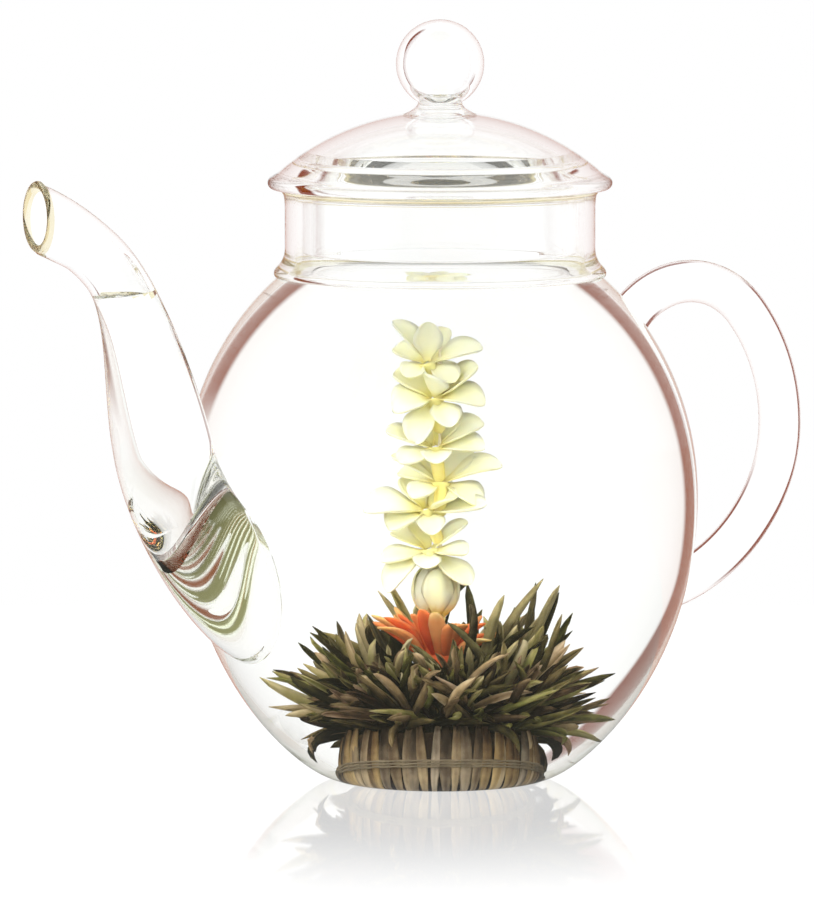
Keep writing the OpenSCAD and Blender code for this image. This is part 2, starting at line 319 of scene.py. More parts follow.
def plant_material(name, stops, grain_scale, grain_height, rough, soft, other_stops=None):
    """Soaked leaf, stem or petal: colour by a stored tone, which on leaves and stems also holds painted
    shade and highlight, streaked by noise, with fine raised grain.
    Where other_stops is given, a stored kind chooses between the two families of colour."""
    made, nodes, links, shader = new_material(name)
    tone = add_node(nodes, "ShaderNodeAttribute", attribute_name="tone")
    place = nodes.new("ShaderNodeTexCoord")
    blotch = add_node(nodes, "ShaderNodeTexNoise", Scale=grain_scale * 0.25, Detail=3.0)
    fine = add_node(nodes, "ShaderNodeTexNoise", Scale=grain_scale, Detail=4.0, Roughness=0.6)
    links.new(place.outputs["Object"], blotch.inputs["Vector"])
    links.new(place.outputs["Object"], fine.inputs["Vector"])
    spread = add_node(nodes, "ShaderNodeMath", operation="MULTIPLY_ADD")
    spread.inputs[1].default_value = 0.6
    spread.inputs[2].default_value = -0.3
    links.new(blotch.outputs["Fac"], spread.inputs[0])
    total = add_node(nodes, "ShaderNodeMath", operation="ADD", use_clamp=True)
    links.new(tone.outputs["Fac"], total.inputs[0])
    links.new(spread.outputs[0], total.inputs[1])
    colours = ramp(nodes, stops)
    links.new(total.outputs[0], colours.inputs["Fac"])
    result = colours.outputs["Color"]
    if other_stops:
        others = ramp(nodes, other_stops)
        links.new(total.outputs[0], others.inputs["Fac"])
        kind = add_node(nodes, "ShaderNodeAttribute", attribute_name="kind")
        chosen = add_node(nodes, "ShaderNodeMix", data_type="RGBA")
        links.new(kind.outputs["Fac"], chosen.inputs[0])
        links.new(result, chosen.inputs[6])
        links.new(others.outputs["Color"], chosen.inputs[7])
        result = chosen.outputs[2]
    links.new(result, shader.inputs["Base Color"])
    bump = add_node(nodes, "ShaderNodeBump", Strength=0.7, Distance=grain_height * MM)
    links.new(fine.outputs["Fac"], bump.inputs["Height"])
    links.new(bump.outputs["Normal"], shader.inputs["Normal"])
    shader.inputs["Roughness"].default_value = rough
    shader.inputs["Specular IOR Level"].default_value = 0.0  # wet through, so they have no shine in the tea
    shader.inputs["Subsurface Weight"].default_value = soft
    shader.inputs["Subsurface Radius"].default_value = (1.0, 0.8, 0.4)
    shader.inputs["Subsurface Scale"].default_value = 1.6 * MM
    return made


# Colours of soaked leaves and stems, from the darkest tone to the lightest.
OLIVE = [(0.0, (0.012, 0.011, 0.004)), (0.3, (0.05, 0.048, 0.012)), (0.55, (0.17, 0.16, 0.04)),
         (0.8, (0.36, 0.32, 0.11)), (1.0, (0.6, 0.52, 0.26))]
BROWN = [(0.0, (0.014, 0.008, 0.005)), (0.3, (0.055, 0.032, 0.018)), (0.55, (0.18, 0.11, 0.06)),
         (0.8, (0.38, 0.24, 0.14)), (1.0, (0.62, 0.46, 0.29))]
BUFF = [(0.0, (0.03, 0.022, 0.012)), (0.3, (0.13, 0.1, 0.05)), (0.55, (0.3, 0.24, 0.12)),
        (0.8, (0.5, 0.4, 0.22)), (1.0, (0.7, 0.58, 0.36))]
STEM = [(0.0, (0.03, 0.022, 0.014)), (0.35, (0.14, 0.105, 0.07)), (0.65, (0.36, 0.29, 0.2)),
        (1.0, (0.66, 0.54, 0.38))]
RUST = [(0.0, (0.04, 0.02, 0.01)), (0.35, (0.2, 0.12, 0.05)), (0.65, (0.45, 0.3, 0.12)),
        (1.0, (0.75, 0.55, 0.25))]

GLASS_IOR = 1.47
TEA_IOR = 1.333
PALE = (0.999, 1.0, 1.0)
GREENISH = (0.99, 0.996, 0.993)
AMBER = (0.998, 0.996, 0.985)
glass = clear_material("clear_glass", GLASS_IOR, PALE, GREENISH)
wet_glass = clear_material("glass_against_tea", GLASS_IOR / TEA_IOR, PALE, GREENISH)
tea = clear_material("pale_tea", TEA_IOR, PALE, AMBER)
tea_side = clear_material("tea_against_glass", 1.0, PALE, AMBER)
# Painted reflection: the neck's rim and the spout's lip are tinted gold for the gold light they catch, not
# for a colour of the glass.
rim_glass_painted_gold = clear_material("rim_with_painted_gold_reflection", GLASS_IOR, (0.9, 0.8, 0.55), (0.78, 0.66, 0.36))
# Painted reflection: the meniscus is tinted gold for the bright line of light along the waterline, not for
# the tea's colour.
tea_edge_painted_gold = clear_material("meniscus_with_painted_gold_reflection", TEA_IOR, (0.85, 0.76, 0.45), (0.72, 0.62, 0.3))
TEA_GLOW = (1.25, 1.2, 0.6)  # the colour of the tea's painted glow, which light takes on a very long way through the tea
TEA_DEPTH = 0.2  # share of the light that each metre of tea takes up, and the strength of the tea's painted glow


def steep_and_glow(material):
    """Fills a closed liquid with very thin tea, which takes up light and gives out a painted glow."""
    nodes, links = material.node_tree.nodes, material.node_tree.links
    take = add_node(nodes, "ShaderNodeVolumeAbsorption", Color=(0, 0, 0, 1), Density=TEA_DEPTH)
    # Painted light: the tea glows in TEA_GLOW, though it is no lamp.
    painted_glow = add_node(nodes, "ShaderNodeEmission", Color=(*TEA_GLOW, 1), Strength=TEA_DEPTH)
    both = nodes.new("ShaderNodeAddShader")
    links.new(take.outputs[0], both.inputs[0])
    links.new(painted_glow.outputs[0], both.inputs[1])
    links.new(both.outputs[0], nodes["Material Output"].inputs["Volume"])


for liquid in (tea, tea_side, tea_edge_painted_gold):
    steep_and_glow(liquid)

leaf_dark = plant_material("leaf_dark", OLIVE, 1400, 0.10, 0.4, 0.0, BROWN)
leaf_light = plant_material("leaf_light", OLIVE, 1400, 0.10, 0.4, 0.0, BUFF)
stem_brown = plant_material("stem_brown", STEM, 1500, 0.12, 0.55, 0.0, RUST)
thread = plant_material("cotton_thread", [
    (0.0, (0.6, 0.52, 0.36)), (1.0, (0.86, 0.8, 0.62))], 6000, 0.05, 0.8, 0.0)
thread_brown = plant_material("stained_thread", [
    (0.0, (0.1, 0.07, 0.04)), (1.0, (0.4, 0.32, 0.2))], 6000, 0.05, 0.8, 0.0)
petal_orange = plant_material("petal_orange", [
    (0.0, (0.45, 0.03, 0.01)), (0.45, (0.74, 0.16, 0.05)), (0.8, (0.8, 0.36, 0.13)),
    (1.0, (0.72, 0.5, 0.2))], 900, 0.04, 0.5, 0.3)
petal_cream = plant_material("petal_cream", [
    (0.0, (0.74, 0.55, 0.1)), (0.3, (0.86, 0.74, 0.26)), (0.6, (0.9, 0.85, 0.46)),
    (1.0, (0.93, 0.91, 0.64))], 700, 0.03, 0.5, 0.5)


# ---- pot ----

def glass_piece(name, body, profile, node, sharp=50):
    """A round piece of clear glass, turned from its profile."""
    return piece(name, body, finish_mesh(name, *lathe(profile), sharp=sharp), glass, [node])


# The spout tube's centre line, as X and Z, in two curves from the bell's top to the mouth.
SPOUT_RISE = [(-63, 67.5), (-66, 79.5), (-67.8, 91.5), (-72.2, 100.5)]
SPOUT_BEND = [(-72.2, 100.5), (-76, 108.2), (-83.5, 112.6), (-91.6, 116)]
SPOUT_JOINT = 0.52  # the first curve's share of the line


def spout_centre(t):
    if t < SPOUT_JOINT:
        return bezier(SPOUT_RISE, t / SPOUT_JOINT)
    return bezier(SPOUT_BEND, (t - SPOUT_JOINT) / (1 - SPOUT_JOINT))


def spout_along(t):
    a, b = spout_centre(max(0, t - 0.01)), spout_centre(min(1, t + 0.01))
    return Vector((b[0] - a[0], b[1] - a[1])).normalized()


SPOUT_ROOT_R, SPOUT_TIP_R, MOUTH_HALF, LIP_ROUND = 9.8, 5.7, 7.0, 0.7
BELL_W, BELL_H, BELL_Z = 17.5, 17.5, 43.5


def spout_point(t, angle, inset):
    """A point of the tube, moved inward by inset. The mouth is cut upright."""
    radius = SPOUT_TIP_R + (SPOUT_ROOT_R - SPOUT_TIP_R) * (1 - smooth(t / 0.62))
    upright = smooth((t - 0.75) / 0.25)
    along = spout_along(t)
    side = (Vector((along.y, -along.x)) * (1 - upright) + Vector((0, 1)) * upright).normalized()
    reach = (radius + (MOUTH_HALF - SPOUT_TIP_R) * upright - inset) * math.cos(angle)
    x, z = spout_centre(t)
    return (x + side.x * reach, (radius - inset) * math.sin(angle), z + side.y * reach)


def bell_foot(angle, inset, sink):
    """A point of the oval where the bell meets the globe, sunk below the globe's skin."""
    y = (BELL_W - 1.2 * inset) * math.sin(angle)
    z = BELL_Z + (BELL_H - 1.2 * inset) * math.cos(angle)
    return (-math.sqrt((globe_r(z) - sink) ** 2 - y * y), y, z)


def bell_point(t, angle, inset, sink):
    """A point of the bell, between the tube and its foot on the globe."""
    top = spout_point(0, angle, inset)
    along = spout_along(0)
    foot = bell_foot(angle, inset, sink)
    low = (1 - math.cos(angle)) / 2
    run = 2.5 + 13 * low
    upper = (top[0] - along.x * run, top[1], top[2] - along.y * run)
    lower = (foot[0] - 0.8 - 9 * low + 0.6 * inset, foot[1] * 0.9, foot[2] + 2.5 + 2.5 * low)
    return bezier([top, upper, lower, foot], t)


def spout_rings(inset, sink, sides):
    """Rings from the mouth down the tube and the bell to the globe."""
    angles = [TAU * k / sides for k in range(sides)]
    tube, bell = 44, 22
    return ([[spout_point(1 - i / tube, a, inset) for a in angles] for i in range(tube + 1)]
            + [[bell_point(i / bell, a, inset, sink) for a in angles] for i in range(1, bell + 1)])


def make_globe():
    outer = globe_profile(0)
    inner = globe_profile(WALL)[8:-1]
    inner = [p for p in inner if p[1] > FLOOR_Z + 0.4]
    inner[-1:] = [(globe_r(TEA_Z) - SHOULDER_WALL, TEA_Z)]
    profile = ([(0, 0)] + outer + [(globe_r(SHOULDER_Z) - SHOULDER_WALL, SHOULDER_Z)] + inner[::-1]
               + [(FOOT_R - 0.5, FLOOR_Z), (0, FLOOR_Z)])
    made = glass_piece("globe_glass", "pot", profile, "pot_globe")
    sides = 64
    oval = [bell_foot(TAU * k / sides, SPOUT_WALL, 0) for k in range(sides)]
    through_wall = skin([[(x, y, z) for _, y, z in oval] for x in (-GLOBE_R - 2, -30)])
    combine(made, new_object("hole_cutter", finish_mesh("hole_cutter", *through_wall)), "DIFFERENCE")
    made.data.set_sharp_from_angle(angle=math.radians(40))

    def wet(centre, normal):
        outward = Vector((centre.x, centre.y, 0)).normalized().dot(normal)
        outside = outward > 0.05 or (normal.z < -0.5 and centre.z < HEEL_Z)
        return centre.z < TEA_Z and not outside
    more_material(made, wet_glass, wet)


def more_material(made, material, rule):
    """Gives the faces for which rule(centre in mm, normal) is true another material."""
    made.data.materials.append(material)
    for face in made.data.polygons:
        if rule(face.center / MM, face.normal):
            face.material_index = len(made.data.materials) - 1


def combine(made, other, operation):
    """Cuts another object out of an object, or fuses it on, and removes the other."""
    step = made.modifiers.new("combine", "BOOLEAN")
    step.object, step.operation, step.solver = other, operation, "EXACT"
    graph = bpy.context.evaluated_depsgraph_get()
    mesh = bpy.data.meshes.new_from_object(made.evaluated_get(graph), depsgraph=graph)
    made.modifiers.clear()
    made.data = mesh
    bpy.data.objects.remove(other)


def cut_at_tea(work, **more):
    """Cuts a mesh at the tea's level."""
    return bmesh.ops.bisect_plane(work, geom=work.verts[:] + work.edges[:] + work.faces[:],
                                  plane_co=(0, 0, TEA_Z * MM), plane_no=(0, 0, 1), **more)


def make_neck():
    inner = NECK_R - WALL
    foot_in = globe_r(SHOULDER_Z) - SHOULDER_WALL + 0.2
    low = SHOULDER_Z - WELD
    top = NECK_TOP - SEAT_GAP
    flare = NECK_R + FOOT_FLARE
    foot, waist, lip = flare - 0.7, SHOULDER_Z + 0.8, NECK_R + 0.5
    profile = ([(foot_in, low), (foot, low)]
               + curve([(foot, low), (flare, SHOULDER_Z), (flare, waist)], 12, 1)
               + curve([(flare, waist), (flare, 103.2), (NECK_R, 103.4), (NECK_R, 107)], 40, 1)
               + curve([(NECK_R, top - 4), (NECK_R, top - 1), (lip, top - 0.6)], 14)
               + curve([(lip, top - 0.6), (lip, top), (NECK_R - 0.2, top)], 14, 1)
               + curve([(inner + 0.7, top), (inner, top), (inner, top - 0.7)], 14)
               + curve([(inner, 107.5), (inner, 103.5), (foot_in, low)], 30)[:-1])
    made = glass_piece("neck_glass", "pot", profile, "neck_collar")
    # Painted reflection: the neck's rim gets the gold tint.
    more_material(made, rim_glass_painted_gold, lambda centre, normal: centre.z > top - 0.7)


def make_spout():
    sides = 96
    outer = spout_rings(0, WELD, sides)
    inner = spout_rings(SPOUT_WALL, WELD, sides)
    for ring in (outer[0], inner[0]):
        ring[:] = [(x + LIP_ROUND, y, z) for x, y, z in ring]
    lip = []
    for i in range(1, 24):
        turn = math.pi * i / 24
        lip.append([tuple(Vector(p).lerp(Vector(q), (1 + math.cos(turn)) / 2)
                          - Vector((LIP_ROUND * math.sin(turn), 0, 0)))
                    for p, q in zip(inner[0], outer[0])])
    rings = outer[::-1] + lip + inner
    mesh = finish_mesh("spout_glass", *skin(rings, closed=True))
    bore = range((len(outer) + len(lip)) * sides, (len(rings) - 1) * sides)
    for k in bore:
        mesh.polygons[k].material_index = 1
    work = bmesh.new()
    work.from_mesh(mesh)
    cut_at_tea(work)
    for face in work.faces:
        if face.calc_center_median().z > TEA_Z * MM:
            face.material_index = 0
    work.to_mesh(mesh)
    work.free()
    mesh.set_sharp_from_angle(angle=math.radians(60))
    made = piece("spout_glass", "pot", mesh, glass, ["spout"])
    made.data.materials.append(wet_glass)
    # Painted reflection: the spout's lip gets the gold tint.
    more_material(made, rim_glass_painted_gold, lambda centre, normal: centre.x < spout_low.x + LIP_ROUND + 0.5)


HANDLE_ARCS = [  # centre X, centre Z, radius, first and last angle in degrees, from the low end up
    (44.5, 71.95, 38, -78, -27), (52.5, 67.9, 29, -27, 0), (45.2, 67.9, 36.3, 0, 40),
    (59, 79.5, 18.3, 40, 135)]
HANDLE_FLARE = 1.12  # how much wider the handle is where it meets the globe
HANDLE_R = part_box("handle")[1].y / MM / HANDLE_FLARE


def handle_ring(x, z, angle, radius, sides):
    return [Vector((x + radius * math.cos(b) * math.cos(angle), radius * math.sin(b),
                    z + radius * math.cos(b) * math.sin(angle)))
            for b in (TAU * k / sides for k in range(sides))]


def onto_globe(point, way, sink):
    """Moves a point along a line until it lies just under the globe's outer skin."""
    near, far = 0.0, 14.0
    for _ in range(30):
        half = (near + far) / 2
        spot = point + way * half
        if math.hypot(spot.x, spot.y) > globe_r(spot.z) - sink:
            near = half
        else:
            far = half
    return point + way * far


def make_handle():
    sides = 64
    stations = []
    for x, z, radius, first, last in HANDLE_ARCS:
        steps = max(6, round(radius * math.radians(last - first) / 1.4))
        for i in range(steps + (last == 135)):
            angle = math.radians(mix(first, last, i / steps))
            stations.append((x + radius * math.cos(angle), z + radius * math.sin(angle), angle))
    rings = [handle_ring(*s, HANDLE_R, sides) for s in stations]
    for station, way_sign, at_start in ((stations[0], -1, True), (stations[-1], 1, False)):
        angle = station[2]
        way = Vector((-math.sin(angle), 0, math.cos(angle))) * way_sign
        slim = handle_ring(*station, HANDLE_R, sides)
        wide = [onto_globe(p, way, WELD) for p in handle_ring(*station, HANDLE_R * HANDLE_FLARE, sides)]
        flare = [[a.lerp(b, u) for a, b in zip(slim, wide)] for u in (0.5, 0.75, 0.9, 1.0)]
        rings = flare[::-1] + rings if at_start else rings + flare
    piece("handle_glass", "pot", finish_mesh("handle_glass", *skin(rings), sharp=50),
          glass, ["handle"])


def make_tea():
    """The tea: one volume in the globe and one in the spout, which meet in the pouring hole."""
    reach = WELD
    top_r = globe_r(TEA_Z) - SHOULDER_WALL + reach
    wall = [p for p in globe_profile(WALL - reach) if FLOOR_Z + 0.5 < p[1] < TEA_Z - 0.5]
    meniscus = [(top_r, TEA_Z + 0.9), (top_r - 0.5, TEA_Z + 0.5), (top_r - 1.0, TEA_Z + 0.25),
                (top_r - 1.8, TEA_Z + 0.08), (top_r - 3.0, TEA_Z), (0, TEA_Z)]
    globe_part = lathe([(0, FLOOR_Z - reach), (FOOT_R - 0.5, FLOOR_Z - reach)] + wall + meniscus)
    sides = 64
    rings = spout_rings(SPOUT_WALL - reach, 0, sides)[1:]
    rings += [[(x + 0.9, y * 0.999, z) for x, y, z in rings[-1]],
              [(x + 2.6, y * 0.98, BELL_Z + (z - BELL_Z) * 0.98) for x, y, z in rings[-1]]]
    mesh = finish_mesh("spout_tea", *skin(rings))
    work = bmesh.new()
    work.from_mesh(mesh)
    cut = cut_at_tea(work, clear_outer=True)
    edges = [e for e in cut["geom_cut"] if isinstance(e, bmesh.types.BMEdge)]
    filled = bmesh.ops.contextual_create(work, geom=edges)
    bmesh.ops.inset_region(work, faces=filled["faces"], thickness=1.1 * MM, depth=-0.5 * MM)
    bmesh.ops.recalc_face_normals(work, faces=work.faces[:])
    spout_part = ([v.co / MM for v in work.verts], [[v.index for v in f.verts] for f in work.faces])
    work.free()
    bpy.data.meshes.remove(mesh)
    made = piece("tea_water", "pot", finish_mesh("tea_water", *globe_part), tea)
    combine(made, new_object("spout_tea", finish_mesh("spout_tea", *spout_part)), "UNION")
    made.data.set_sharp_from_angle(angle=math.radians(50))
    more_material(made, tea_side, lambda centre, normal: centre.z < TEA_Z - 0.7 or normal.z < 0.2)
    # Painted reflection: the gold tint goes on the meniscus ring at the wall.
    more_material(made, tea_edge_painted_gold, lambda centre, normal: (
        centre.z > TEA_Z - 0.7 and normal.z > 0.2 and math.hypot(centre.x, centre.y) > top_r - 2.4))


# ---- lid ----

dome_drop = DOME_TOP - (NECK_TOP + 2 * EDGE_R)
DOME_R = (DOME_EDGE ** 2 + dome_drop ** 2) / (2 * dome_drop)
DOME_Z = DOME_TOP - DOME_R


def dome_outer(r):
    return DOME_Z + math.sqrt(DOME_R ** 2 - r * r)


def dome_inner(r):
    return DOME_Z + math.sqrt((DOME_R - WALL) ** 2 - r * r)


def make_lid():
    seat = COLLAR_R + SEAT_WIDTH
    edge_z = NECK_TOP + EDGE_R
    profile = ([(0, dome_inner(0))]
               + [(r, dome_inner(r)) for r in (COLLAR_R * i / 30 for i in range(1, 31))]
               + curve([(seat - 1.7, dome_inner(seat - 1.7)), (seat - 1.2, NECK_TOP + 0.2),
                        (seat, NECK_TOP)], 20)
               + [(DOME_EDGE + EDGE_R * math.cos(a), edge_z + EDGE_R * math.sin(a))
                  for a in (math.radians(d) for d in range(-90, 66, 4))]
               + [(r, dome_outer(r)) for r in (DOME_EDGE * (1 - i / 40) for i in range(1, 40))]
               + [(0, dome_outer(0))])
    glass_piece("lid_glass", "lid", profile, "lid_dome")

    inner = COLLAR_R - COLLAR_WALL
    low = collar_low.z
    profile = (curve([(inner, low + 0.8), (inner, low), (inner + 0.9, low)], 14)
               + curve([(COLLAR_R - 0.9, low), (COLLAR_R, low), (COLLAR_R, low + 0.8)], 14)
               + [(COLLAR_R, dome_inner(COLLAR_R) + WELD), (inner, dome_inner(inner) + WELD)])
    glass_piece("collar_glass", "lid", profile, "lid_collar")

    ball_z = KNOB_Z - math.sqrt(KNOB_R ** 2 - STUB_R ** 2)
    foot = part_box("knob_neck")[1].x / MM
    profile = ([(0, dome_outer(0) - WELD)]
               + [(foot * i / 6, dome_outer(foot * i / 6) - WELD) for i in range(1, 6)]
               + curve([(foot, dome_outer(foot)), (4.2, DOME_TOP + 0.7), (STUB_R, ball_z)], 30)
               + [(r, KNOB_Z - math.sqrt(KNOB_R ** 2 - r * r) + WELD) for r in (3.9, 3.0, 2.0, 1.0)]
               + [(0, KNOB_Z - KNOB_R + WELD)])
    glass_piece("knob_neck_glass", "lid", profile, "knob_neck", 60)

    turns = 72
    outer = [(KNOB_R * math.sin(math.pi * i / turns), KNOB_Z - KNOB_R * math.cos(math.pi * i / turns))
             for i in range(turns + 1)]
    inside = KNOB_R - KNOB_WALL
    inner = [(inside * math.sin(math.pi * i / turns), KNOB_Z + inside * math.cos(math.pi * i / turns))
             for i in range(turns + 1)]
    clean = [(0 if r < 1e-3 else r, z) for r, z in outer + inner]
    glass_piece("knob_glass", "lid", clean, "knob_ball", None)


# ---- flowering tea ----

# Directions as the main view sees them, for placing what shows most.
RIGHT = Vector((math.cos(math.radians(VIEW_TURN)), math.sin(math.radians(VIEW_TURN)), 0))
FRONT = Vector((math.sin(math.radians(VIEW_TURN)), -math.cos(math.radians(VIEW_TURN)), 0))
UP = Vector((0, 0, 1))


def blade(route, width, thickness, fold, face, twist, root_painted_shade=0.0, segments=10):
    """A rolled leaf along a route of control points, as (verts, faces) and a lightness for each vertex,
    which holds painted shade towards the root, along the middle and underneath, and a painted highlight at
    the edges.
    """
    rings, light = [], []
    points = [Vector(bezier(route, i / segments)) for i in range(segments + 1)]
    for i, point in enumerate(points):
        t = i / segments
        ahead = (points[min(segments, i + 1)] - points[max(0, i - 1)]).normalized()
        side = ahead.cross(face)
        side = side.normalized() if side.length > 1e-6 else Vector((1, 0, 0))
        side = Matrix.Rotation(twist * t, 3, ahead) @ side
        up = side.cross(ahead)
        swell = math.sin(math.pi * min(1.0, 0.1 + 0.9 * t)) ** 0.55
        half = width / 2 * swell + 0.05
        thick = thickness * swell + 0.05
        across = [(u, 0.0) for u in (-1, -0.6, 0, 0.6, 1)] + [(u, thick) for u in (0.6, 0, -0.6)]
        ring = [point + side * (half * u) + up * (fold * half * (u * u - 0.5) - down) for u, down in across]
        rings.append([tuple(p) for p in ring])
        # Painted shade: darker towards the route's start by root_painted_shade. Across the blade, a painted
        # highlight at both edges and painted shade along the middle and underneath.
        painted_shade = root_painted_shade * (1 - t) ** 1.5
        light += [painted_shade + more for more in (0.24, 0.04, -0.14, 0.04, 0.24, -0.05, 0.0, -0.05)]
    light += [0, 0]
    return skin(rings), light


def leaf_crown(name, node, count, seed, tip_radius, tip_height, material, width, hanging=0.0):
    """One crown: count leaves from the tied base, bent outward to tips within tip_radius and tip_height.
    A share of them, hanging, droop over the side of the base."""
    rand = random.Random(seed)
    parts, tones, kinds = [], [], []
    base_z = bundle_high.z
    for i in range(count):
        turn = TAU * (i + rand.uniform(-0.5, 0.5)) / count
        reach = rand.uniform(*tip_radius)
        height = rand.uniform(*tip_height)
        around = flat_way(turn)
        facing = max(0, around.dot(FRONT * 0.8 - RIGHT * 0.6))
        height -= max(0.0, height - CRATER_Z + rand.gauss(0, 3)) * smooth(facing * 1.5)
        across = UP.cross(around)
        tip = around * reach + across * rand.gauss(0, 4.5) + UP * height
        start = around * rand.uniform(4, 13) + across * rand.gauss(0, 2.5)
        start.z = base_z + rand.uniform(0.5, 3.0) + max(0, height - 24) * rand.uniform(0.1, 0.5)
        bend = start.lerp(tip, rand.uniform(0.4, 0.65)) + across * rand.gauss(0, 3.0)
        bend += UP * rand.uniform(-0.5, 3.5) + around * rand.uniform(-1.5, 1.5)
        bend.z = max(bend.z, base_z + 1.0)
        if rand.random() < hanging:
            start = around * 12 + UP * (base_z + 1.2)
            bend = around * rand.uniform(20.5, 22) + UP * (base_z + rand.uniform(1.0, 2.0))
            tip = around * rand.uniform(18.8, 20) + across * rand.gauss(0, 1.5)
            tip.z = base_z - rand.uniform(2, 5.5)
        face = Vector((rand.gauss(0, 0.6), rand.gauss(0, 0.6), 1)).normalized()
        # Painted shade: each leaf darkens towards its root, deep in the crown.
        leaf, light = blade([tuple(start), tuple(bend), tuple(tip)], rand.uniform(*width),
                            rand.uniform(0.6, 0.95), rand.uniform(0.6, 1.6), face,
                            rand.uniform(-2.5, 2.5), root_painted_shade=-0.7)
        shade = rand.uniform(0.05, 0.9)
        parts.append(leaf)
        tones += [shade + more for more in light]
        kinds += [rand.random()] * len(light)
    plant_piece(name, parts, tones, material, [node], kinds)


CRATER_Z = 31.0  # leaf tips stay below this level towards the front left


def make_base():
    """The tied leaf stems: folded ribs stood round a dark core, the ribs with painted shade towards their
    tops under the leaves.
    """
    rand = random.Random(11)
    radius = bundle_high.x
    low, high = bundle_low.z, bundle_high.z
    parts, tones, kinds = [], [], []
    core = lathe([(0, low + 0.3), (radius - 2.4, low + 0.3), (radius - 1.6, (low + high) / 2),
                  (radius - 2.4, high), (0, high)], 60)
    parts.append(core)
    tones += [0.02] * len(core[0])
    kinds += [0.5] * len(core[0])
    count = 52
    for i in range(count):
        turn = TAU * (i + rand.uniform(-0.25, 0.25)) / count
        out = radius - 0.75 - rand.uniform(0, 0.5)
        lean = rand.gauss(0, 0.04)
        levels = ((out * 0.93, turn, low + rand.uniform(0, 0.5)), (out * 1.04, turn, mix(low, high, 0.3)),
                  (out, turn + lean, mix(low, high, 0.8)), (out - 1.0, turn + lean, high + 1.2))
        route = [(r * math.cos(a), r * math.sin(a), z) for r, a, z in levels]
        outward = flat_way(turn)
        # Painted shade: each rib darkens towards its top, under the leaf crown.
        rib, light = blade(route[::-1], rand.uniform(1.5, 2.6), 0.8, -0.6, outward, 0.0, root_painted_shade=-0.8)
        shade = rand.uniform(0.5, 1.1)
        parts.append(rib)
        tones += [shade + more for more in light]
        kinds += [rand.random()] * len(light)
    plant_piece("tied_base", parts, tones, stem_brown, ["bundle_base"], kinds)


def strand_frame(route, i):
    """The direction of a route at one of its points, and two directions square to it."""
    ahead = (Vector(route[min(len(route) - 1, i + 1)]) - Vector(route[max(0, i - 1)])).normalized()
    side = ahead.orthogonal().normalized() if abs(ahead.z) > 0.9 else ahead.cross(UP).normalized()
    return side, side.cross(ahead)


def thread_mesh(name, route, radius):
    """Two twisted strands along a list of points."""
    parts = []
    for strand in (0, math.pi):
        rings = []
        for i, point in enumerate(route):
            side, up = strand_frame(route, i)
            turn = i * 0.9 + strand
            middle = Vector(point) + (side * math.cos(turn) + up * math.sin(turn)) * radius * 0.45
            rings.append([tuple(middle + (side * math.cos(b) + up * math.sin(b)) * radius * 0.55)
                          for b in (TAU * k / 6 for k in range(6))])
        parts.append(skin(rings))
    mesh = finish_mesh(name, *joined(parts))
    store(mesh, "tone", [0.6] * len(mesh.vertices))
    return mesh


def make_threads():
    low, high = box_mm("binding_thread")
    radius = high.x - 0.4
    turns, steps = 3, 84
    route = []
    for i in range(turns * steps + 1):
        turn = TAU * i / steps
        route.append((radius * math.cos(turn), radius * math.sin(turn),
                      mix(low.z + 0.4, high.z - 0.4, i / (turns * steps))))
    piece("binding_cotton", "flowering_tea", thread_mesh("binding_cotton", route, 0.3),
          thread_brown, ["binding_thread"])
    low, high = box_mm("garland_thread")
    route = [(0, 0, mix(low.z, high.z, i / 90)) for i in range(91)]
    piece("garland_cotton", "flowering_tea", thread_mesh("garland_cotton", route, 0.34),
          thread, ["garland_thread"])


def petal(base, out, up, length, width, cup, curl):
    """A round-tipped petal that leaves base along out, cupped towards up, and a lightness per vertex."""
    side = out.cross(up).normalized()
    rings, light = [], []
    steps = 14
    widest = 0.6
    for i in range(steps + 1):
        t = 1 - (1 - i / steps) ** 1.5
        if t > widest:
            half = width / 2 * math.sqrt(max(0.0, 1 - ((t - widest) / (1.003 - widest)) ** 2))
        else:
            half = width / 2 * (0.22 + 0.78 * smooth(t / widest))
        lift = cup * math.sin(math.pi * 0.5 * t) - curl * t ** 3
        middle = base + out * (length * t) + up * (length * lift)
        dish = 0.42 * half
        thick = 0.4 * min(1.0, half / (0.3 * width))
        across = ([(u, 0.0) for u in (-1, -0.65, -0.25, 0.25, 0.65, 1)]
                  + [(u, thick) for u in (0.85, 0.4, 0, -0.4, -0.85)])
        ring = [middle + side * (half * u) + up * (dish * u * u - down) for u, down in across]
        rings.append([tuple(p) for p in ring])
        light += [t] * 11
    return skin(rings), light + [0, 1]


def tube(points, radii, sides=14):
    """A closed round tube through some points."""
    rings = []
    for i, point in enumerate(points):
        side, up = strand_frame(points, i)
        rings.append([tuple(Vector(point) + (side * math.cos(b) + up * math.sin(b)) * radii[i])
                      for b in (TAU * k / sides for k in range(sides))])
    return skin(rings)


def aim(screen, depth):
    """A direction from its angle above the main view's right, and its lean towards the viewer."""
    screen, depth = math.radians(screen), math.radians(depth)
    flat = RIGHT * math.cos(screen) + UP * math.sin(screen)
    return flat * math.cos(depth) + FRONT * math.sin(depth)


